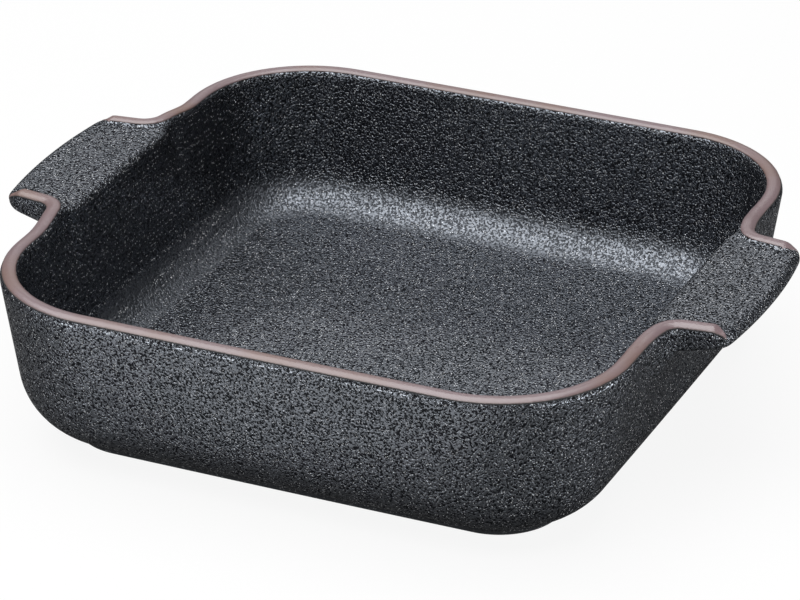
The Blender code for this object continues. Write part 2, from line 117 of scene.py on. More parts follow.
class LugSizes(bpy.types.PropertyGroup):
    """The two lug handles, and the lip line that runs out along them."""

    half_width: length("Half width", "Middle of the handle to its lip line", 0.0385)
    rise: length("Lip rise", "How far the lip climbs to the handle", 0.0016)
    reach: length("Reach", "Lip line of the wall to the handle's outer end", 0.0297)
    fillet: length("Fillet", "Plan radius of the lip line where it turns out", 0.0093)
    flare_run: length("Flare run", "Length in which the lip swings out", 0.0182)
    flare_out: length("Flare out", "How far the lip has swung at the fillet", 0.0019)
    taper: turn("Taper", "How far each side of the handle turns inward", 7.5)
    end_radius: length("End radius", "Plan radius of the handle's outer end", 0.230)
    corner: length("Corner", "Plan radius of the outer corners", 0.0075)
    drop: length("Drop", "Crest of the lip to the dished top", 0.0023)
    cove: length("Cove", "Width of the hollow that rises to the lip", 0.006)
    roll: length("End roll", "Round of the top at the outer end", 0.0027)
    seat_roll: length("Seat roll", "Round where the top rolls into the dish", 0.0030)
    tip: length("Tip thickness", "Crest to the underside at the outer end", 0.0078)
    root: length("Root thickness", "Crest to the underside at the wall", 0.0126)
    under_round: length("Under round", "Round under the handle's edges", 0.0030)
    side_lean: length("Side lean", "How far the side leans in going down", 0.0005)
    root_fillet: length("Root fillet", "Round between underside and wall", 0.0032)
    flare_drop: length("Flare drop", "Height in which the wall swells to the lug", 0.018)
    sink_before: length("Sink before", "Where the lip starts to sink, before a corner", 0.0003)
    sink_run: length("Sink run", "Length in which the lip sinks toward the end", 0.0045)


class BandSizes(bpy.types.PropertyGroup):
    """The coloured glaze band on the lip."""

    proud: length("Proud", "Thickness of the band over the bare lip", 0.0002)
    inner: turn("Inner edge", "Angle from the crest to the band's inner edge", 47.0)
    outer: turn("Outer edge", "Angle from the crest to the band's outer edge", 57.0)
    lug_inner: turn("Inner edge on lugs", "The same beside the handle's hollow", 45.0)
    lug_outer: turn("Outer edge on lugs", "The same on the handle's side", 63.0)
    tip_outer: turn("Outer edge at the tip", "The outer edge where the band ends", 80.0)
    tip_turn: turn("Tip turn", "How far round the handle's corner the band runs", 46.0)
    tip_run: length("Tip run", "Length in which the band draws in to its tip", 0.0016)
    edge: length("Edge round", "Width of the round at the band's edges", 0.0005)
    sunk: length("Sunk", "Depth of the band's underside below the bare lip", 0.00035)


class GlazeLook(bpy.types.PropertyGroup):
    """Colours and grain of the glazes."""

    slate: colour("Slate", "Colour of the dark glaze", (0.0060, 0.0064, 0.0080))
    slate_gloss: colour("Slate gloss", "Tint of the dark glaze's mirror", (0.83, 0.895, 1.0))
    slate_rough: amount("Slate roughness", "Roughness on the pebbles' tops", 0.07)
    slate_index: amount("Slate index", "Index of refraction of the dark, metallic glaze", 2.6)
    pebble: length("Pebble size", "Spacing of the dark glaze's pebbles", 0.00088)
    pebble_depth: length("Pebble depth", "Depth of the crevices between pebbles", 0.00022)
    # Painted shade: how dark the crevices between pebbles are painted, bare of gloss.
    painted_crevice_shade: amount("Crevice shade", "How dark the crevices between pebbles are", 0.95)
    pooled_rough: amount("Pooled roughness", "Roughness added where the glaze pools", 0.2)
    pooling: amount("Pooling", "Share of the crevices filled where the glaze pools", 0.28)
    # Pale specks: partly crystals of the glaze, partly painted glints of the lamps.
    crystal_and_glint: colour("Crystal", "Colour of the fine pale crystals", (0.90, 0.91, 0.93))
    crystal_and_glint_size: length("Crystal size", "Radius of a pale crystal", 0.0002)
    mauve: colour("Band", "Colour of the rim band", (0.215, 0.154, 0.164))
    brown: colour("Band brown", "Colour where the band's glaze is thin", (0.200, 0.126, 0.108))
    clay: colour("Clay", "Bare clay of the ground foot", (0.110, 0.085, 0.065))


class StudioLook(bpy.types.PropertyGroup):
    """Lamps, floor and background."""

    floor: colour("Floor", "Colour of the table", (0.13, 0.13, 0.13))
    pale: colour("Pale floor", "Colour of the table as the camera sees it", (0.80, 0.80, 0.80))
    glow: amount("Backdrop glow", "Share of plain white in what the camera sees", 0.9)
    shine: amount("Backdrop shine", "Share of plain white in what the glaze mirrors", 0.05)
    # Painted light: the pool of white that the glaze mirrors from the table before the dish.
    pool: amount("Front pool", "Share of white mirrored from the table before the dish", 1.9)
    sky: amount("Sky", "Strength of the even light all round", 0.1)
    top: amount("Top lamp", "Watts of the broad lamp overhead", 40.0)
    back: amount("Back lamp", "Watts of the lamp behind", 1.8)
    right: amount("Right lamp", "Watts of the low strip on the right", 0.6)
    front: amount("Front lamp", "Watts of the low strip near the front wall", 0.56)


# Plan lines and heights


def smooth(value):
    """Ease from 0 to 1 with level ends."""
    value = min(max(value, 0.0), 1.0)
    return value * value * (3.0 - 2.0 * value)


def mix(first, second, share):
    return first + (second - first) * share


def between(first, second, share):
    """The point at a share of the way between two points."""
    return tuple(mix(a, b, share) for a, b in zip(first, second))


def steps(count):
    """Shares from 0 to 1 in a number of even steps."""
    return [step / count for step in range(count + 1)]


def arc(centre, radius, start, end, count, outward=1.0):
    """Points on an arc with their normals: (x, y, nx, ny)."""
    points = []
    for share in steps(count):
        angle = mix(start, end, share)
        nx, ny = math.cos(angle), math.sin(angle)
        points.append((centre[0] + radius * nx, centre[1] + radius * ny,
                       nx * outward, ny * outward))
    return points


def bow_radius(half, bow):
    return (half * half + bow * bow) / (2.0 * bow)


def full_turn(quarter):
    """Mirror a quarter, from the X side to the Y side, into a closed loop."""
    second = [(-x, y, -nx, ny) for x, y, nx, ny in reversed(quarter[:-1])]
    half = quarter + second
    return half + [(-x, -y, -nx, -ny) for x, y, nx, ny in half[1:-1]]


def soft_max(first, second, width):
    """The larger of two values, rounded where they cross."""
    near = max(width - abs(first - second), 0.0) / width
    return max(first, second) + near * near * width * 0.25


def soft_min(first, second, width):
    return -soft_max(-first, -second, width)


# Steps of the stations along a lug, its fillet, the flare, a corner and half the front.
LUG_STATIONS, FILLET_STATIONS, FLARE_STATIONS = 9, 22, 8
CORNER_STATIONS, FRONT_STATIONS = 26, 16
# Steps of the wall's section: belly, outer face, lip's outer and inner side, inner face, cove.
BELLY_STEPS, OUTER_STEPS, CROWN_STEPS = 14, 12, 12
LIP_STEPS, INNER_STEPS, COVE_STEPS = 18, 10, 14
# Those of the lip's inner side that reach the face; the others roll into the dish.
SEAT_STEPS = 8
# From the lug's seat out to its root, and the rounding where crown and hollow meet.
ROOT_GAP, CREASE = 1.2 * MM, 0.35 * MM
# How deep the wall's top lies under the lug's skin, at the seat and at the root.
SEAT_TUCK, ROOT_TUCK = 0.03 * MM, 0.35 * MM


class DishForm:
    """The lip's plan line, the wall's section and the lug's heights, for x and y >= 0."""

    def __init__(self, scene):
        self.dish, self.lug = scene.dish_sizes, scene.lug_sizes
        dish, lug = self.dish, self.lug
        self.rim_z = dish.height - lug.rise
        self.lip_z = self.rim_z - dish.lip
        self.floor_z = dish.foot_height + dish.floor
        self.top_z = dish.height - lug.drop
        self.lug_lip_z = self.lip_z + lug.rise
        self.side_radius = bow_radius(dish.rim_half_y, dish.side_bow)
        self.front_radius = bow_radius(dish.rim_half_x, dish.front_bow)
        self.fillet_x = dish.rim_half_x + lug.flare_out + lug.fillet
        self.fillet_y = lug.half_width + lug.fillet
        self.flare_y = self.fillet_y + lug.flare_run
        self.end_x = dish.rim_half_x + lug.reach
        self.along = (math.cos(lug.taper), -math.sin(lug.taper))
        self.outward = (math.sin(lug.taper), math.cos(lug.taper))
        self.set_flare()
        self.seat_x = self.flare_end_x + dish.lip
        self.root_x = self.seat_x + ROOT_GAP
        self.set_corner()
        self.set_lug_corner()

    def side_x(self, y):
        """The lip line's x on a handle side, before the flare."""
        centre = self.dish.rim_half_x - self.side_radius
        return centre + math.sqrt(self.side_radius ** 2 - y * y)

    def side_point(self, y):
        """A point of the lip line on a handle side, with its outward normal."""
        x, centre = self.side_x(y), self.dish.rim_half_x - self.side_radius
        return x, y, (x - centre) / self.side_radius, y / self.side_radius

    def set_flare(self):
        """The flare's arc, tangent to the side and to the handle's fillet."""
        across = self.fillet_x - self.side_x(self.flare_y)
        along = self.flare_y - self.fillet_y
        fillet = self.lug.fillet
        self.flare_radius = (across ** 2 + along ** 2 - fillet ** 2) / (2 * (across - fillet))
        self.flare_x = self.side_x(self.flare_y) + self.flare_radius
        dx, dy = self.fillet_x - self.flare_x, self.fillet_y - self.flare_y
        reach = fillet / math.hypot(dx, dy)
        self.flare_end_x = self.fillet_x + dx * reach
        self.flare_end_y = self.fillet_y + dy * reach

    def set_corner(self):
        """The corner's centre and the angles at which its arc starts and ends."""
        dish = self.dish
        side_x = dish.rim_half_x - self.side_radius
        front_y = dish.rim_half_y - self.front_radius
        x, y = dish.rim_half_x - dish.corner, dish.rim_half_y - dish.corner
        for _ in range(40):
            x = side_x + math.sqrt((self.side_radius - dish.corner) ** 2 - y * y)
            y = front_y + math.sqrt((self.front_radius - dish.corner) ** 2 - x * x)
        self.corner_centre = (x, y)
        self.corner_start = math.atan2(y, x - side_x)
        self.corner_end = math.atan2(y - front_y, x)

    def set_lug_corner(self):
        """Centre of the lug's outer corner, tangent to its side and its end."""
        lug = self.lug
        reach = lug.fillet - self.dish.lip + lug.corner
        x = self.fillet_x - self.outward[0] * reach
        y = self.fillet_y - self.outward[1] * reach
        px = x - (self.end_x - lug.end_radius)
        half = px * self.along[0] + y * self.along[1]
        span = lug.end_radius - lug.corner
        run = -half + math.sqrt(half * half - (px * px + y * y - span * span))
        self.lug_corner = (x + self.along[0] * run, y + self.along[1] * run)

    def offset_x(self, y, offset):
        """x of the line that runs outside the lip line by offset, up to the fillet."""
        if y >= self.flare_y:
            return self.side_x(y) + offset
        root = (self.flare_radius - offset) ** 2 - (self.flare_y - y) ** 2
        x = self.flare_x - math.sqrt(root)
        reach = self.lug.fillet - offset
        if self.fillet_y - y < reach and y < self.fillet_y:
            on_fillet = self.fillet_x - math.sqrt(reach ** 2 - (self.fillet_y - y) ** 2)
            x = max(x, on_fillet)
        elif y < self.fillet_y:
            x = self.end_x
        return x

    def lift(self, y):
        """How far the lip has climbed toward the handle."""
        return self.lug.rise * smooth((self.flare_y - abs(y)) / self.lug.flare_run)

    def recess(self, z, top=None):
        """How far the drafted wall has drawn in below its lip."""
        top = self.lip_z if top is None else top
        return max(0.0, top - z) * math.tan(self.dish.draft)

    def past_line(self, x, y):
        """Signed distance to the lip line near a lug; positive on the dish's side."""
        lug = self.lug
        if y > self.flare_y:
            return self.side_x(y) - x
        if y > self.flare_end_y and x < self.fillet_x:
            return math.hypot(x - self.flare_x, y - self.flare_y) - self.flare_radius
        dx, dy = x - self.fillet_x, y - self.fillet_y
        if dx * self.along[0] + dy * self.along[1] < 0.0:
            return math.hypot(dx, dy) - lug.fillet
        cx, cy = x - self.lug_corner[0], y - self.lug_corner[1]
        forward = cx * self.along[0] + cy * self.along[1]
        if forward < 0.0:
            return -lug.fillet - dx * self.outward[0] - dy * self.outward[1]
        centre = self.end_x - lug.end_radius
        end = (lug.end_radius - self.dish.lip) - math.hypot(x - centre, y)
        corner = lug.corner - self.dish.lip - math.hypot(cx, cy)
        turn_end = math.atan2(self.lug_corner[1], self.lug_corner[0] - centre)
        return corner if math.atan2(cy, cx) > turn_end else end

    def fade(self, x, y):
        """0 where the bead stands in full, 1 where it has sunk near the lug's end."""
        forward = ((x - self.lug_corner[0]) * self.along[0]
                   + (y - self.lug_corner[1]) * self.along[1])
        return smooth((forward + self.lug.sink_before) / self.lug.sink_run)

    def crest_height(self, x, y):
        """Height of the bare lip's crest, which sinks near the lug's end."""
        base = self.lip_z + self.lift(y)
        fade = self.fade(x, y)
        crest = mix(base + self.dish.lip_crown, self.top_z - 0.6 * MM, fade)
        if y > self.flare_end_y:
            return crest
        return soft_max(crest, self.top_z + self.lug.rise * 0.5 * (1.0 - fade), CREASE)

    def top_height(self, x, y):
        """Height of the lug's top: the lip's crown, and the hollow beside it."""
        y = abs(y)
        past = self.past_line(x, y)
        share = min(abs(past) / self.dish.lip, 1.0)
        base = self.lip_z + self.lift(y)
        crest = self.crest_height(x, y)
        crown = base + (crest - base) * math.sqrt(1.0 - share * share)
        if past < 0.0:
            return crown
        width = self.lug.cove + 0.8 * self.dish.lip
        hollow = (max(1.0 - past / width, 0.0)) ** 2 * (1.0 - self.fade(x, y))
        return soft_max(crown, self.top_z + self.lug.rise * 0.5 * hollow, CREASE)

    def under_height(self, x):
        """The lug's underside, which falls toward the wall and rounds into it."""
        lug = self.lug
        root, tip = self.dish.height - lug.root, self.dish.height - lug.tip
        level = mix(root, tip, (x - self.seat_x) / (self.end_x - self.seat_x))
        wall = self.root_x - self.recess(root, self.lug_lip_z)
        near = min(max(1.0 - (x - wall) / lug.root_fillet, 0.0), 1.0)
        return level - lug.root_fillet * (1.0 - math.sqrt(1.0 - near * near))

    def corner_and_front(self, corner_steps, front_steps):
        """The lip line from a corner's start to the middle of the front."""
        points = arc(self.corner_centre, self.dish.corner,
                     self.corner_start, self.corner_end, corner_steps)
        centre = (0.0, self.dish.rim_half_y - self.front_radius)
        return points + arc(centre, self.front_radius,
                            self.corner_end, math.pi / 2, front_steps)[1:]

    def stations(self):
        """Stations round the dish on the plain lip line, close together at the lugs."""
        near = self.lug.half_width - 2.0 * MM
        marks = [near * share for share in steps(LUG_STATIONS)]
        marks += [mix(near, self.fillet_y, share) for share in steps(FILLET_STATIONS)[1:]]
        marks += [mix(self.fillet_y, self.flare_y, share)
                  for share in steps(FLARE_STATIONS)[1:]]
        return full_turn([self.side_point(y) for y in marks]
                         + self.corner_and_front(CORNER_STATIONS, FRONT_STATIONS))

    def belly_arc(self, count):
        """Outer round from the foot's crease to the wall, as (offset, z) points."""
        dish = self.dish
        crease = (dish.foot_slant - dish.foot_inset, dish.foot_height)
        nx, nz = math.cos(dish.draft), -math.sin(dish.draft)
        ox, oz = dish.lip - nx * dish.belly, self.lip_z - nz * dish.belly
        dx, dz = -math.sin(dish.draft), -math.cos(dish.draft)
        px, pz = ox - crease[0], oz - crease[1]
        half = px * dx + pz * dz
        root = half * half - (px * px + pz * pz - dish.belly ** 2)
        along = -half - math.sqrt(max(root, 0.0))
        cx, cz = ox + dx * along, oz + dz * along
        start = math.atan2(crease[1] - cz, crease[0] - cx)
        return [point[:2] for point in arc((cx, cz), dish.belly, start, -dish.draft, count)]

    def cove_arc(self, count):
        """Inner round from the wall to the floor, as (offset, z) points."""
        dish = self.dish
        cz = self.floor_z + dish.cove
        top_z = cz - dish.cove * math.sin(dish.draft)
        cx = -dish.lip - self.recess(top_z) - dish.cove * math.cos(dish.draft)
        round_down = arc((cx, cz), dish.cove, -dish.draft, -math.pi / 2, count)
        return [point[:2] for point in round_down]

    def tuck(self, x):
        """How far the wall's top lies under the lug's, so that the lug's skin shows."""
        near = smooth((x - self.seat_x) / (self.root_x - self.seat_x))
        return SEAT_TUCK * smooth((x - self.seat_x) / (0.4 * MM) + 1.0) + ROOT_TUCK * near

    def lip_top(self, y, handle):
        """The wall's top as (x, z) points, from its outer side to the inner face.

        Away from the lugs it is the lip's round. Behind a lug it follows the lug's top
        and rolls into the dish; handle is the share of that shape.
        """
        dish, roll = self.dish, self.lug.seat_roll
        base = self.lip_z + self.lift(y)
        outer = soft_min(self.offset_x(y, dish.lip), self.root_x, 0.6 * MM)
        outer -= self.tuck(outer)
        middle = soft_min(self.offset_x(y, 0.0), self.seat_x - 1.5 * MM, 1.0 * MM)
        points = []
        for share in steps(CROWN_STEPS)[:-1]:
            angle = share * math.pi / 2
            x = middle + (outer - middle) * math.cos(angle)
            z = base + dish.lip_crown * math.sin(angle)
            if y < self.flare_y:
                z = self.top_height(x, y) - self.tuck(x)
            points.append((x, z))
        crest = self.top_height(middle, y) if y < self.flare_y else base + dish.lip_crown
        face = self.side_x(y) - dish.lip - self.recess(self.top_z - roll, base)
        for index, share in enumerate(steps(LIP_STEPS)):
            angle = share * math.pi / 2
            x = middle - dish.lip * math.sin(angle)
            z = base + (crest - base) * math.cos(angle)
            if handle > 0.0:
                drop = 0.0
                seat = mix(middle, face + roll, min(index / SEAT_STEPS, 1.0))
                if index > SEAT_STEPS:
                    angle = (index - SEAT_STEPS) / (LIP_STEPS - SEAT_STEPS) * math.pi / 2
                    seat = face + roll * (1.0 - math.sin(angle))
                    drop = roll * (1.0 - math.cos(angle))
                x, z = mix(x, seat, handle), mix(z, self.top_height(seat, y) - drop, handle)
            points.append((x, z))
        return points

    def wall_section(self, x, y):
        """One station's section, from the foot's crease over the lip to the floor."""
        dish, lug = self.dish, self.lug
        up = self.lift(y)
        handle = smooth((self.flare_end_y + dish.lip * 0.5 - y)
                        / (lug.fillet + dish.lip * 0.5))
        if y < self.flare_y:
            top = [(px - x, z) for px, z in self.lip_top(y, handle)]
        else:
            top = [(px - self.side_x(y), z) for px, z in self.lip_top(y, 0.0)]
        swell = top[0][0] - dish.lip
        points = self.belly_arc(BELLY_STEPS)
        low = dish.height - lug.root - lug.flare_drop
        for share in steps(OUTER_STEPS)[1:-1]:
            z = mix(points[BELLY_STEPS][1], self.lip_z + up, share)
            grown = smooth((z - low) / lug.flare_drop)
            points.append((dish.lip - self.recess(z, self.lip_z + up * grown)
                           + swell * grown, z))
        points += top
        cove = self.cove_arc(COVE_STEPS)
        last = points[-1]
        inner = last[0] + dish.lip + self.recess(last[1], self.lip_z + up)
        for share in steps(INNER_STEPS)[1:-1]:
            z = mix(last[1], cove[0][1], share)
            blend = 1.0 - smooth(share / 0.8)
            points.append((-dish.lip - self.recess(z, self.lip_z + up * blend)
                           + inner * blend, z))
        return points + cove


# Mesh and object helpers


def add_loop(bm, points):
    """A closed loop of edges; returns its vertices in order."""
    verts = [bm.verts.new(point) for point in points]
    for index, vert in enumerate(verts):
        bm.edges.new((verts[index - 1], vert))
    return verts


def loop_edges(bm, verts):
    return [bm.edges.get((verts[i - 1], verts[i])) for i in range(len(verts))]


def grow(bm, verts, points):
    """Extrude a closed loop of vertices and move the new ones to the given points."""
    made = bmesh.ops.extrude_edge_only(bm, edges=loop_edges(bm, verts))
    fresh = {item for item in made["geom"] if isinstance(item, bmesh.types.BMVert)}
    ring = []
    for vert, point in zip(verts, points):
        for edge in vert.link_edges:
            other = edge.other_vert(vert)
            if other in fresh:
                other.co = point
                ring.append(other)
    return ring


def loft(bm, loops, closed=False):
    """Skin a list of closed loops; cap both ends, or weld the last loop to the first."""
    rings = [add_loop(bm, loops[0])]
    for loop in loops[1:] + loops[:1] * closed:
        rings.append(grow(bm, rings[-1], loop))
    if closed:
        bmesh.ops.remove_doubles(bm, verts=bm.verts, dist=1e-7)
    else:
        for end in (rings[0], rings[-1]):
            bmesh.ops.contextual_create(bm, geom=loop_edges(bm, end))
    return rings


def add_object(name, data):
    holder = bpy.data.objects.new(name, data)
    bpy.context.scene.collection.objects.link(holder)
    return holder


def mesh_object(name, bm, material):
    """Turn a bmesh into an object with one material."""
    mesh = bpy.data.meshes.new(name)
    bm.to_mesh(mesh)
    bm.free()
    mesh.materials.append(material)
    return add_object(name, mesh)


# Edges that turn further than this are kept sharp.
SHARP_TURN = math.radians(40.0)


def finish_piece(name, bm, material, replaced):
    """Turn a bmesh into a smooth piece that rides on the dish's one body."""
    bmesh.ops.recalc_face_normals(bm, faces=bm.faces)
    piece = mesh_object(name, bm, material)
    piece.data.shade_smooth()
    piece.data.set_sharp_from_angle(angle=SHARP_TURN)
    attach(piece, "root")
    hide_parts(replaced)


# Shader helpers


class Value:
    """A shader socket whose arithmetic adds Math nodes."""

    def __init__(self, tree, socket):
        self.tree, self.socket = tree, socket

    def math(self, operation, *others):
        inputs = dict(enumerate((self, *others)))
        return self.tree.add("ShaderNodeMath", {"operation": operation}, inputs)[0]

    def __add__(self, other):
        return self.math("ADD", other)

    def __sub__(self, other):
        return self.math("SUBTRACT", other)

    def __mul__(self, other):
        return self.math("MULTIPLY", other)

    def __radd__(self, other):
        return self + other

    def __rmul__(self, other):
        return self * other

    def __rsub__(self, other):
        return self * -1.0 + other

    def ramp(self, low, high):
        """0 below low, 1 above high, eased between; low may be the larger."""
        found = self.tree.add("ShaderNodeMapRange", {"interpolation_type": "SMOOTHSTEP"},
                              {"Value": self, "From Min": low, "From Max": high})
        return found[0]


class Shader:
    """Adds nodes to a material or a world by type, settings and inputs."""

    def __init__(self, owner):
        owner.use_nodes = True
        self.owner = owner
        self.nodes, self.links = owner.node_tree.nodes, owner.node_tree.links
        self.nodes.clear()

    def add(self, kind, settings=None, inputs=None):
        """Add a node; returns its output sockets, wrapped, by number or name."""
        node = self.nodes.new(kind)
        for name, value in (settings or {}).items():
            setattr(node, name, value)
        for name, value in (inputs or {}).items():
            socket = node.inputs[name]
            if isinstance(value, Value):
                self.links.new(value.socket, socket)
            else:
                socket.default_value = value
        found = {socket.name: Value(self, socket) for socket in node.outputs if socket.enabled}
        found.update(enumerate(list(found.values())))
        return found

    def place(self):
        return self.add("ShaderNodeTexCoord")["Object"]

    def height(self, vector=None):
        """The Z part of a vector, or of the place on the object."""
        return self.add("ShaderNodeSeparateXYZ", {}, {0: vector or self.place()})["Z"]

    def noise(self, scale, detail=2.0, rough=0.5, place=None, **more):
        inputs = {"Vector": place or self.place(), "Scale": scale, "Detail": detail,
                  "Roughness": rough, **more}
        return self.add("ShaderNodeTexNoise", {}, inputs)

    def cells(self, size, place):
        return self.add("ShaderNodeTexVoronoi", {}, {"Vector": place, "Scale": 1.0 / size})

    def blend(self, first, second, share):
        """Mix two colours, each three numbers or a link; share is that of the second."""
        tints = [tint if isinstance(tint, Value) else (*tint, 1.0) for tint in (first, second)]
        return self.add("ShaderNodeMix", {"data_type": "RGBA"},
                        {0: share, 6: tints[0], 7: tints[1]})[0]

    def bump(self, height, distance):
        inputs = {"Height": height, "Distance": distance, "Strength": 1.0}
        return self.add("ShaderNodeBump", {}, inputs)[0]

    def surface(self, **inputs):
        """Add a Principled shader; returns its output."""
        named = {name.replace("_", " "): value for name, value in inputs.items()}
        return self.add("ShaderNodeBsdfPrincipled", {}, {"Metallic": 0.0, **named})[0]

    def mix_surfaces(self, share, first, second):
        return self.add("ShaderNodeMixShader", {}, {0: share, 1: first, 2: second})[0]

    def close(self, surface):
        """Link the finished surface to the material's output; returns the material."""
        self.add("ShaderNodeOutputMaterial", {}, {"Surface": surface})
        return self.owner


def new_glaze(name):
    return Shader(bpy.data.materials.new(name))


# Glazes


# Turn of the dark glaze's pattern, so that its grid lies along no wall.
TURN = (0.62, 0.47, 0.31)
# Spacing of the dark glaze's pin pits, of the cells that may hold a pale speck (partly a
# crystal, partly a painted glint), and its grain.
PIT_CELL, CRYSTAL_AND_GLINT_CELL, GRAIN = 1.6 * MM, 0.8 * MM, 0.4 * MM
# Patterns to a metre: clouds in the dark glaze, drifts in the band's, the clay's grain.
CLOUDS, DRIFTS, CLAY_GRAIN = 28.0, 22.0, 1600.0
# Roughness down between the pebbles, and where the glaze runs smooth over the foot.
DEEP_ROUGH, FOOT_ROUGH = 0.30, 0.4
# Height to which the foot is ground bare, and from which its glaze is pebbled in full.
BARE_HEIGHT, PEBBLED_HEIGHT = 0.6 * MM, 4.5 * MM
# Heights under which the glaze pools in the rounds inside the dish: in full, and at all.
POOLED_HEIGHT, DRAINED_HEIGHT = 24.0 * MM, 32.0 * MM


def pooled_glaze(shader):
    """Where the glaze ran together and fills its crevices: the rounds from walls to floor."""
    upward = shader.height(shader.add("ShaderNodeNewGeometry")["Normal"])
    sloping = upward.ramp(0.25, 0.55) * upward.ramp(0.998, 0.97)
    return sloping * shader.height().ramp(DRAINED_HEIGHT, POOLED_HEIGHT)


def slate_layers(shader, look):
    """Colour, roughness, relief height and the mask of painted shade in the crevices of the
    dark pebbled glaze.
    """
    place = shader.add("ShaderNodeMapping", {},
                       {"Vector": shader.place(), "Rotation": TURN})[0]
    swell = shader.noise(1.0 / look.pebble, 1.0, 0.5, place, Distortion=0.4)[0]
    tops = swell.ramp(0.34, 0.62)
    grain = shader.noise(1.0 / GRAIN, 1.0, 0.5, place)[0]
    pit = shader.cells(PIT_CELL, place)["Distance"].ramp(0.16, 0.075)
    pooled = pooled_glaze(shader)
    drained = 1.0 - pooled * look.pooling
    height = (tops + grain * 0.06) * drained - pit * 0.5
    # Pale specks in the colour: partly crystals, partly painted glints.
    cell = shader.cells(CRYSTAL_AND_GLINT_CELL, place)
    chosen = shader.add("ShaderNodeSeparateColor", {}, {"Color": cell["Color"]})["Red"]
    radius = look.crystal_and_glint_size / CRYSTAL_AND_GLINT_CELL
    crystal_and_glint = cell["Distance"].ramp(radius * 1.25, radius * 0.7) * chosen.ramp(0.70, 0.78)
    clouds = shader.noise(CLOUDS, 2.0, 0.5, place)[0]
    pale = [part * 1.8 for part in look.slate]
    tint = shader.blend(look.slate, pale, clouds.ramp(0.35, 0.7))
    tint = shader.blend(tint, look.crystal_and_glint, crystal_and_glint)
    rough = tops * (look.slate_rough - DEEP_ROUGH) + DEEP_ROUGH + clouds * 0.04
    rough += pooled * look.pooled_rough
    # Painted shade: the crevices and pin pits are darkened and lose their gloss.
    painted_crevice_shade = (swell.ramp(0.49, 0.41) * drained + pit).math("MINIMUM", 1.0) * look.painted_crevice_shade
    return tint, rough, height, painted_crevice_shade


def glazed(shader, look, tint, rough, normal, painted_crevice_shade):
    """The glaze, with painted shade down in the crevices, where it has next to no gloss."""
    skin = shader.surface(Base_Color=tint, Roughness=rough, IOR=look.slate_index,
                          Specular_Tint=(*look.slate_gloss, 1.0), Normal=normal)
    # The painted shade of the crevices: the glaze's colour with no mirror.
    depth = shader.surface(Base_Color=tint, Roughness=1.0, Specular_IOR_Level=0.0,
                           Normal=normal)
    return shader.close(shader.mix_surfaces(painted_crevice_shade, skin, depth))


def slate_glaze(look):
    shader = new_glaze("slate_glaze")
    tint, rough, height, painted_crevice_shade = slate_layers(shader, look)
    return glazed(shader, look, tint, rough, shader.bump(height, look.pebble_depth), painted_crevice_shade)


# The middle of the band's colour, as a share of its width; past it lies a dark outer seam.
BAND_MIDDLE = 0.467
# The band's low waves and its fine grain: patterns to a metre.
BAND_WAVES, BAND_GRAIN = 420.0, 1100.0
BAND_RELIEF = 0.12 * MM


def band_glaze(look):
    """Satin mauve glaze, browner and thinner toward its ragged edges."""
    shader = new_glaze("band_glaze")
    place = shader.place()
    across = shader.add("ShaderNodeSeparateXYZ", {},
                        {0: shader.add("ShaderNodeUVMap", {"uv_map": "band"})[0]})["Y"]
    drift = shader.noise(DRIFTS, 2.0, 0.5, place)[0]
    fine = shader.noise(BAND_GRAIN, 2.0, 0.6, place)[0]
    edge = (across - BAND_MIDDLE).math("ABSOLUTE") * (1.0 / BAND_MIDDLE)
    thin = (edge + fine * 0.25 + drift * 0.2).ramp(0.95, 1.35)
    tint = shader.blend(look.mauve, look.brown, drift.ramp(0.42, 0.68))
    tint = shader.blend(tint, [part * 0.55 for part in look.brown], thin)
    dark = (edge + fine * 0.10).ramp(0.99, 1.06)
    tint = shader.blend(tint, look.slate, dark)
    rough = drift.ramp(0.2, 0.8) * 0.12 + 0.30 + dark * 0.45
    height = fine * 0.5 + shader.noise(BAND_WAVES, 2.0, 0.5, place)[0]
    return shader.close(shader.surface(Base_Color=tint, IOR=1.8, Roughness=rough,
                                       Normal=shader.bump(height, BAND_RELIEF)))


def foot_glaze(look):
    """The dark glaze, smoother toward the foot, and bare clay where the foot is ground."""
    shader = new_glaze("foot_glaze")
    tint, rough, height, painted_crevice_shade = slate_layers(shader, look)
    z = shader.height()
    grain = shader.noise(CLAY_GRAIN, 3.0, 0.6)[0]
    bare = (z + grain * (0.4 * MM)).ramp(BARE_HEIGHT + 0.3 * MM, BARE_HEIGHT)
    clay = shader.blend(look.clay, [part * 0.6 for part in look.clay], grain.ramp(0.35, 0.7))
    pebbled = z.ramp(1.0 * MM, PEBBLED_HEIGHT)
    return glazed(shader, look, shader.blend(tint, clay, bare),
                  rough * pebbled + (1.0 - pebbled) * FOOT_ROUGH + bare * 0.35,
                  shader.bump(height * pebbled, look.pebble_depth), painted_crevice_shade * pebbled)


# Pieces


def ring_round(stations, points):
    """A ring round the dish through one (offset, z) point at each station."""
    return [(x + nx * offset, y + ny * offset, z)
            for (x, y, nx, ny), (offset, z) in zip(stations, points)]


def shell_mesh(form):
    """Walls, lip, floor and underside, lofted ring by ring."""
    stations = form.stations()
    sections = [form.wall_section(abs(x), abs(y)) for x, y, _, _ in stations]
    rings = [ring_round(stations, points) for points in zip(*sections)]
    flats = [[[(x * share, y * share, z) for x, y, z in ring] for share in (0.3, 0.7, 0.9)]
             for ring in (rings[0], rings[-1])]
    bm = bmesh.new()
    loft(bm, flats[0] + rings + flats[1][::-1])
    return bm


# Points round half a lug's edge: its fillet, its side, its corner and half its end.
LUG_FILLET, LUG_SIDE, LUG_CORNER, LUG_END = 14, 9, 12, 14
LUG_COLUMNS = LUG_CORNER + LUG_END
# Where the lug's top ends on the round of the lip, as an angle up from the lip's side.
LUG_EDGE = math.radians(45.0)
# How deep the lug's root sits in the wall.
LUG_SUNK = 1.2 * MM


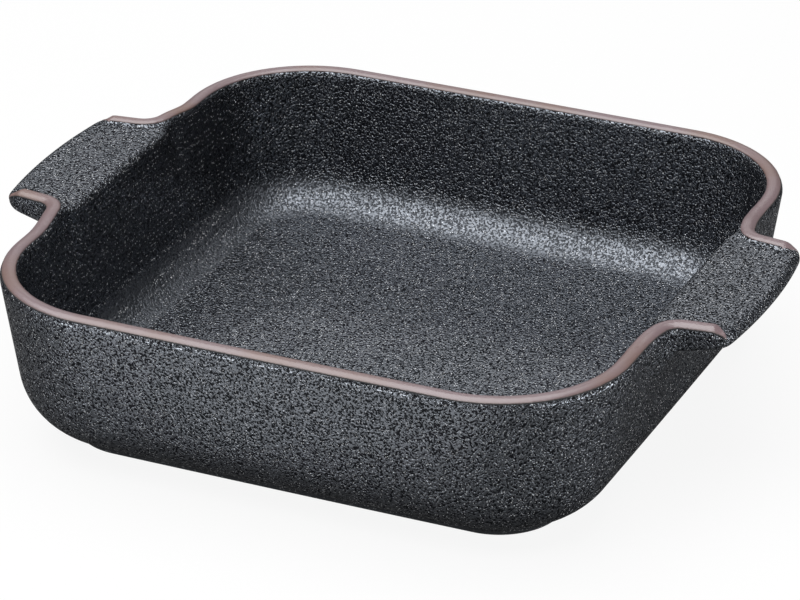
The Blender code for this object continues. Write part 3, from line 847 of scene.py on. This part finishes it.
def lug_side(form, inset, z):
    """The lug's edge from the wall along its fillet and its side, as (x, y) points."""
    lug = form.lug
    radius = lug.fillet - form.dish.lip + inset
    shift = form.recess(z, form.lug_lip_z)
    start = math.pi + math.acos((form.fillet_x - form.seat_x) / radius)
    fillet = arc((form.fillet_x, form.fillet_y), radius, start,
                 1.5 * math.pi - lug.taper, LUG_FILLET)
    points = [(x - shift, y) for x, y, _, _ in fillet]
    reach = lug.corner - inset
    last = (form.lug_corner[0] + reach * form.outward[0],
            form.lug_corner[1] + reach * form.outward[1])
    first = points[-1]
    return points + [between(first, last, share) for share in steps(LUG_SIDE)[1:-1]]


def lug_end(form, side_inset, end_inset):
    """The outer corner and end, to the middle: (x, y, share from side to end)."""
    lug = form.lug
    x, y = form.lug_corner
    centre = form.end_x - lug.end_radius
    end = math.atan2(y, x - centre)
    points = []
    for step in steps(LUG_CORNER):
        share = smooth(step)
        angle = mix(math.pi / 2 - lug.taper, end, step)
        reach = lug.corner - mix(side_inset, end_inset, share)
        points.append((x + reach * math.cos(angle), y + reach * math.sin(angle), share))
    reach = lug.end_radius - end_inset
    for step in steps(LUG_END)[1:]:
        angle = end * (1.0 - step)
        points.append((centre + reach * math.cos(angle), reach * math.sin(angle), 1.0))
    return points


def lug_upper(form, share):
    """The lug's edge from its top, at share 0, down to its side face, at share 1."""
    dish, lug = form.dish, form.lug
    angle = LUG_EDGE * (1.0 - share)
    fall = math.sin(angle) - math.sin(LUG_EDGE)
    side_inset, first = dish.lip * (1.0 - math.cos(angle)), dish.lip * (1 - math.cos(LUG_EDGE))
    turned = share * math.pi / 2
    end_inset = lug.roll * (1.0 - math.sin(turned))
    end_drop = lug.roll * (math.cos(turned) - 1.0)
    top = lug_side(form, first, form.lug_lip_z)
    top += [(x, y) for x, y, _ in lug_end(form, first, lug.roll)]
    edge = [(x, y, 0.0) for x, y in lug_side(form, side_inset, form.lug_lip_z)]
    edge += lug_end(form, side_inset, end_inset)
    points = []
    for (x, y, end), (tx, ty) in zip(edge, top):
        bead = form.crest_height(tx, ty) - form.lip_z - form.lift(ty)
        points.append((x, y, form.top_height(tx, ty) + mix(bead * fall, end_drop, end)))
    return points


def lug_lower(form, share):
    """The lug's edge round from its side face, at share 0, to its underside, at share 1."""
    lug = form.lug
    turned = share * math.pi / 2
    inset = lug.under_round * (1.0 - math.cos(turned))
    rise = lug.under_round * (1.0 - math.sin(turned))
    z = form.dish.height - lug.root + rise
    edge = lug_side(form, lug.side_lean + inset, z)
    edge += [(x, y) for x, y, _ in lug_end(form, lug.side_lean + inset, inset)]
    return [(x, y, form.under_height(x) + rise) for x, y in edge]


def lug_share(column):
    """Where a column of the lug's grid starts along its root, 1 at the side, 0 mid."""
    if column <= LUG_CORNER:
        return mix(1.0, 0.8, column / LUG_CORNER)
    return mix(0.8, 0.0, (column - LUG_CORNER) / LUG_END)


def lug_grid(form, half, height, sunk):
    """Rows of points inside a half outline, mirrored; the root row is sunk into the wall."""
    corner = len(half) - 1 - LUG_COLUMNS
    side, end = half[:corner + 1], half[corner:]
    run = [0.0]
    for a, b in zip(side, side[1:]):
        run.append(run[-1] + math.hypot(b[0] - a[0], b[1] - a[1]))
    rows = []
    for (sx, sy, sz), far in zip(side, run):
        v = far / run[-1]
        base_x, base_y = mix(side[0][0], end[0][0], v), mix(side[0][1], end[0][1], v)
        row = []
        for column, (ex, ey, ez) in enumerate(end):
            share = lug_share(column)
            x = mix(side[0][0], ex, v) + sx - base_x
            y = mix(side[0][1] * share, ey, v) + share * (sy - base_y)
            z = sz if column == 0 else ez if far == run[-1] else height(x, y)
            if far == 0.0 and column > 0:
                x -= sunk
            row.append((x, y, z))
        rows.append(row + [(x, -y, z) for x, y, z in reversed(row[:-1])])
    return rows


def round_grid(rows):
    """The rim of a grid of rows, as one closed loop."""
    loop = rows[0][:-1] + [row[-1] for row in rows[:-1]]
    return loop + rows[-1][:0:-1] + [row[0] for row in rows[:0:-1]]


def add_grid(bm, rows):
    """Lay a grid on rows of points; returns its vertices in rows."""
    columns = len(rows[0])
    made = bmesh.ops.create_grid(bm, x_segments=columns - 1, y_segments=len(rows) - 1,
                                 size=1.0)
    verts = sorted(made["verts"], key=lambda vert: (round(vert.co.y, 5), vert.co.x))
    for vert, point in zip(verts, (point for row in rows for point in row)):
        vert.co = point
    return [verts[start:start + columns] for start in range(0, len(verts), columns)]


def lug_mesh(form, side):
    """A lug: dished top, edges rounded in rings, and an underside rounded into the wall."""
    top = lug_grid(form, lug_upper(form, 0.0), form.top_height, 0.0)
    edges = [lug_upper(form, share) for share in steps(7)[1:]]
    lower = [lug_lower(form, share) for share in steps(6)]
    edges += [[between(*pair, share) for pair in zip(edges[-1], lower[0])]
              for share in (1 / 3, 2 / 3)]
    edges += lower
    bm = bmesh.new()
    ring = round_grid(add_grid(bm, top))
    for half, share in zip(edges, steps(len(edges))[1:]):
        def depth(x, y):
            return mix(form.top_height(form.seat_x, y), lower[-1][0][2], share)
        rows = lug_grid(form, half, depth, LUG_SUNK * min(4.0 * share, 1.0))
        ring = grow(bm, ring, round_grid(rows))
    add_grid(bm, lug_grid(form, lower[-1], lambda x, y: form.under_height(x), LUG_SUNK))
    bmesh.ops.remove_doubles(bm, verts=bm.verts, dist=2e-6)
    bmesh.ops.scale(bm, vec=(side, 1.0, 1.0), verts=bm.verts)
    return bm


def bend(start, corner, end, count):
    """Points on a smooth bend from start to end, drawn toward corner."""
    return [between(between(start, corner, share), between(corner, end, share), share)
            for share in steps(count)]


def foot_section(form):
    """The foot's section as (offset, z): fillet to the belly, slant, worn edges, inside."""
    dish = form.dish
    outer, inner = -dish.foot_inset, -dish.foot_inset - dish.foot_width
    top, edge = dish.foot_height, dish.foot_edge
    crease = (outer + dish.foot_slant, top)
    belly = next(point for point in form.belly_arc(60)
                 if math.dist(point, crease) > 2.5 * MM)
    low = 2.0 * MM
    slant = (crease[0] - dish.foot_slant * low / top, top - low)
    points = bend((belly[0], belly[1] + 0.05 * MM), crease, slant, 8)
    points += bend((outer + dish.foot_slant * edge / top, edge), (outer, 0.0),
                   (outer - edge, 0.0), 5)
    points += bend((inner + edge, 0.0), (inner, 0.0), (inner - 0.3 * edge, edge), 5)
    inside = (inner - 0.5 * dish.foot_slant, top)
    return points + [inside, (inside[0], top + 1.0 * MM),
                     (belly[0] - 1.0 * MM, top + 1.4 * MM)]


def foot_mesh(form):
    """The foot, lofted round the dish from its section."""
    stations = form.stations()
    rings = [ring_round(stations, [point] * len(stations)) for point in foot_section(form)]
    bm = bmesh.new()
    loft(bm, rings, closed=True)
    return bm


def bare_surface():
    """The bare shell and lugs, which the bands are laid on."""
    bm = bmesh.new()
    for name in ("dish_shell", "lug_left", "lug_right"):
        if name not in bpy.data.objects:
            raise RuntimeError("Build the dish and its lugs before the bands.")
        bm.from_mesh(bpy.data.objects[name].data)
    tree = BVHTree.FromBMesh(bm)
    bm.free()
    return tree


def band_path(form, band):
    """The lip line from a lug's tip to the middle of the rear, with outward normals."""
    dish, lug = form.dish, form.lug
    square = math.pi / 2 - lug.taper
    path = arc(form.lug_corner, lug.corner - dish.lip, square - band.tip_turn, square, 12)
    start = path[-1][:2]
    end = (form.fillet_x - form.outward[0] * lug.fillet,
           form.fillet_y - form.outward[1] * lug.fillet)
    path += [(*between(start, end, share), *form.outward) for share in steps(12)[1:-1]]
    turned = 2 * math.pi + math.atan2(form.flare_end_y - form.fillet_y,
                                      form.flare_end_x - form.fillet_x)
    path += arc((form.fillet_x, form.fillet_y), lug.fillet,
                math.pi + square, turned, 26, -1.0)
    path += arc((form.flare_x, form.flare_y), form.flare_radius, turned, math.pi, 18, -1.0)[1:]
    corner = form.corner_and_front(44, 26)
    path += [form.side_point(mix(form.flare_y, corner[0][1], share))
             for share in steps(6)[1:-1]]
    return path + corner


# Where the points of a band's section lie across it: on top, close at the edges, and below.
BAND_TOP = (0.0, 0.006, 0.02, 0.045, 0.09, 0.16, 0.25, 0.35, 0.45, 0.55,
            0.65, 0.75, 0.84, 0.91, 0.955, 0.98, 0.994, 1.0)
BAND_SHARES = BAND_TOP + (1.0, 0.7, 0.3, 0.0)
# Depth of the band's edges in the bare lip, and how far out the rays start that find the lip.
BAND_EDGE_DEPTH, RAY_START, RAY_LENGTH = 0.12 * MM, 9.0 * MM, 12.0 * MM


def band_loop(form, band, tree, station, run):
    """One closed section of the band, laid on the bare lip run from the tip."""
    x, y, nx, ny = station
    lug = form.lift(y) / form.lug.rise
    near = max(1.0 - run / band.tip_run, 0.0)
    shape = math.sqrt(1.0 - near * near)
    outer = mix(mix(band.outer, band.lug_outer, lug), band.tip_outer, smooth(near))
    inner = mix(-mix(band.inner, band.lug_inner, lug), outer - math.radians(6.0), 1.0 - shape)
    axis = Vector((x, y, form.crest_height(x, y) - form.dish.lip_crown))
    width = (outer - inner) * form.dish.lip
    points = []
    for share in BAND_SHARES:
        angle = mix(inner, outer, share)
        away = Vector((nx * math.sin(angle), ny * math.sin(angle), math.cos(angle)))
        hit = tree.ray_cast(axis + away * RAY_START, -away, RAY_LENGTH)[0]
        if hit is None:
            raise RuntimeError("The band misses the lip.")
        side = min(min(share, 1.0 - share) * width / band.edge, 1.0)
        end = min(run / band.edge, 1.0)
        round_up = math.sqrt((1.0 - (1.0 - side) ** 2) * (1.0 - (1.0 - end) ** 2))
        rise = mix(-BAND_EDGE_DEPTH, band.proud, round_up)
        if len(points) >= len(BAND_TOP):
            rise = -band.sunk
        points.append(hit + away * rise)
    return points


def band_mesh(form, band, tree, side):
    """A band from lug to lug, laid on the bare lip; side is 1 at the rear."""
    path = band_path(form, band)
    runs = [0.0]
    for a, b in zip(path, path[1:]):
        runs.append(runs[-1] + math.dist(a[:2], b[:2]))
    loops = [band_loop(form, band, tree, *pair) for pair in zip(path, runs)]
    mirrored = [[Vector((-x, y, z)) for x, y, z in loop] for loop in loops[-2::-1]]
    runs += [2 * runs[-1] - run for run in runs[-2::-1]]
    bm = bmesh.new()
    rings = loft(bm, loops + mirrored)
    places = {vert: (run, share) for ring, run in zip(rings, runs)
              for vert, share in zip(ring, BAND_SHARES)}
    layer = bm.loops.layers.uv.new("band")
    for face in bm.faces:
        for corner in face.loops:
            corner[layer].uv = places[corner.vert]
    bmesh.ops.scale(bm, vec=(1.0, side, 1.0), verts=bm.verts)
    return bm


# Stage


# Half the table's side.
FLOOR_HALF = 4.0
# The soft pool of painted light on the table in front of the dish, which only reflections see.
PAINTED_POOL_PLACE = (-0.014, -0.25, 0.0)
PAINTED_POOL_SHAPE = (0.6, 1.0, 1.0)
PAINTED_POOL_INNER, PAINTED_POOL_OUTER = 0.06, 0.12


def floor_finish(look):
    """A table that the camera sees as white, with the dish's soft shadow kept, and a painted
    pool of light before the dish that only reflections see.
    """
    shader = new_glaze("studio_floor")
    rays = shader.add("ShaderNodeLightPath")
    white = shader.add("ShaderNodeEmission", {}, {"Color": (1.0, 1.0, 1.0, 1.0)})[0]
    tone = shader.blend(look.floor, look.pale, rays["Is Camera Ray"])
    table = shader.add("ShaderNodeBsdfDiffuse", {}, {"Color": tone})[0]
    mirrored = rays["Is Glossy Ray"].math("MAXIMUM", rays["Is Transmission Ray"])
    drawn = shader.add("ShaderNodeMapping", {},
                       {"Vector": shader.place(), "Scale": PAINTED_POOL_SHAPE})[0]
    reach = shader.add("ShaderNodeVectorMath", {"operation": "DISTANCE"},
                       {0: drawn, 1: PAINTED_POOL_PLACE})["Value"]
    # Painted light: in reflections the table shows plain white in a soft pool before the dish.
    shine = reach.ramp(PAINTED_POOL_OUTER, PAINTED_POOL_INNER) * (look.pool - look.shine) + look.shine
    share = (rays["Is Camera Ray"] * look.glow).math("MAXIMUM", mirrored * shine)
    return shader.close(shader.mix_surfaces(share, table, white))


def set_sky(look):
    """Even light all round, plain white where the camera sees it."""
    world = bpy.data.worlds.new("studio_sky")
    bpy.context.scene.world = world
    shader = Shader(world)
    seen = shader.add("ShaderNodeLightPath")["Is Camera Ray"]
    sky = shader.add("ShaderNodeBackground", {},
                     {"Strength": seen.math("MAXIMUM", look.sky)})[0]
    shader.add("ShaderNodeOutputWorld", {}, {"Surface": sky})


# The lamps: name, place, size and the point that each is turned toward.
LAMPS = (
    ("top", (-0.25, -0.1, 1.5), (2.0, 2.0), (0.0, 0.0, 0.03)),
    ("back", (-0.6, 1.6, 0.85), (1.2, 0.5), (0.0, 0.0, 0.03)),
    ("right", (0.4, -0.05, 0.042), (0.5, 0.08), (0.15, 0.0, 0.04)),
    ("front", (-0.15, -0.46, 0.048), (0.4, 0.09), (0.0, -0.12, 0.045)),
)


def add_lamp(name, place, size, watts, aim):
    """A soft rectangular lamp at place, turned toward aim."""
    lamp = bpy.data.lights.new(name, "AREA")
    lamp.shape, lamp.size, lamp.size_y = "RECTANGLE", *size
    lamp.energy = watts
    holder = add_object(name, lamp)
    holder.location = place
    holder.rotation_euler = (Vector(aim) - Vector(place)).to_track_quat("-Z", "Y").to_euler()


# The camera's axes and place, fitted to the photograph.
CAMERA_X = (0.912436549, 0.409217197, -0.000911253)
CAMERA_Y = (-0.181720393, 0.407177368, 0.895088984)
CAMERA_Z = (0.366656847, -0.816546310, 0.445886622)
CAMERA_PLACE = (0.62935305, -1.40049215, 0.79935984)
CAMERA_LENS = 203.7456


def add_camera():
    camera = bpy.data.cameras.new("camera")
    camera.lens, camera.sensor_width, camera.sensor_fit = CAMERA_LENS, 36.0, "HORIZONTAL"
    camera.clip_start, camera.clip_end = 0.1, 20.0
    holder = add_object("camera", camera)
    turned = Matrix((CAMERA_X, CAMERA_Y, CAMERA_Z)).transposed().to_4x4()
    holder.matrix_world = Matrix.Translation(CAMERA_PLACE) @ turned
    bpy.context.scene.camera = holder


# Operators


class BuildShell(bpy.types.Operator):
    """Build the dish's walls, lip and floor"""

    bl_idname = "dish.build_shell"
    bl_label = "Build dish"
    bl_options = {"REGISTER", "UNDO"}

    def execute(self, context):
        form = DishForm(context.scene)
        glaze = slate_glaze(context.scene.glaze_look)
        finish_piece("dish_shell", shell_mesh(form), glaze, "dish_body")
        return {"FINISHED"}


class BuildLugs(bpy.types.Operator):
    """Build the two lug handles"""

    bl_idname = "dish.build_lugs"
    bl_label = "Build lugs"
    bl_options = {"REGISTER", "UNDO"}

    def execute(self, context):
        form = DishForm(context.scene)
        glaze = slate_glaze(context.scene.glaze_look)
        for side, word in ((-1, "left"), (1, "right")):
            finish_piece("lug_" + word, lug_mesh(form, side), glaze,
                         word + "_handle")
        return {"FINISHED"}


class BuildBands(bpy.types.Operator):
    """Lay the coloured glaze bands on the front and rear runs of the lip"""

    bl_idname = "dish.build_bands"
    bl_label = "Build bands"
    bl_options = {"REGISTER", "UNDO"}

    def execute(self, context):
        form, band = DishForm(context.scene), context.scene.band_sizes
        tree = bare_surface()
        glaze = band_glaze(context.scene.glaze_look)
        for side, word in ((-1, "front"), (1, "rear")):
            finish_piece("rim_band_" + word, band_mesh(form, band, tree, side), glaze,
                         word + "_rim_band")
        return {"FINISHED"}


class BuildFoot(bpy.types.Operator):
    """Build the foot that the dish stands on"""

    bl_idname = "dish.build_foot"
    bl_label = "Build foot"
    bl_options = {"REGISTER", "UNDO"}

    def execute(self, context):
        form = DishForm(context.scene)
        glaze = foot_glaze(context.scene.glaze_look)
        finish_piece("dish_foot", foot_mesh(form), glaze, "foot_ring")
        return {"FINISHED"}


class BuildStage(bpy.types.Operator):
    """Set up the table, the soft lamps and the camera"""

    bl_idname = "dish.build_stage"
    bl_label = "Build stage"
    bl_options = {"REGISTER", "UNDO"}

    def execute(self, context):
        look = context.scene.studio_look
        bm = bmesh.new()
        bmesh.ops.create_grid(bm, x_segments=1, y_segments=1, size=FLOOR_HALF)
        mesh_object("studio_floor", bm, floor_finish(look))
        set_sky(look)
        for name, place, size, aim in LAMPS:
            add_lamp("lamp_" + name, place, size, getattr(look, name), aim)
        add_camera()
        context.scene.view_settings.view_transform = "Standard"
        return {"FINISHED"}


class DISH_PT_sidebar(bpy.types.Panel):
    """Sizes, looks and build steps of the dish"""

    bl_idname = "DISH_PT_sidebar"
    bl_label = "Stoneware dish"
    bl_space_type = "VIEW_3D"
    bl_region_type = "UI"
    bl_category = "Dish"

    def draw(self, context):
        layout = self.layout
        for operator in OPERATORS:
            layout.operator(operator.bl_idname)
        for name, group in GROUPS.items():
            box = layout.box()
            box.label(text=name.replace("_", " ").capitalize())
            for field in group.__annotations__:
                box.prop(getattr(context.scene, name), field)


OPERATORS = (BuildShell, BuildLugs, BuildBands, BuildFoot, BuildStage)
GROUPS = {"dish_sizes": DishSizes, "lug_sizes": LugSizes, "band_sizes": BandSizes,
          "glaze_look": GlazeLook, "studio_look": StudioLook}


def register():
    for item in (*GROUPS.values(), *OPERATORS, DISH_PT_sidebar):
        bpy.utils.register_class(item)
    for name, group in GROUPS.items():
        setattr(bpy.types.Scene, name, bpy.props.PointerProperty(type=group))


def unregister():
    for name in GROUPS:
        delattr(bpy.types.Scene, name)
    for item in (DISH_PT_sidebar, *reversed(OPERATORS), *reversed(GROUPS.values())):
        bpy.utils.unregister_class(item)


def main():
    register()
    bpy.ops.dish.build_shell()
    bpy.ops.dish.build_lugs()
    bpy.ops.dish.build_bands()
    bpy.ops.dish.build_foot()
    bpy.ops.dish.build_stage()


if __name__ == "__main__":
    main()
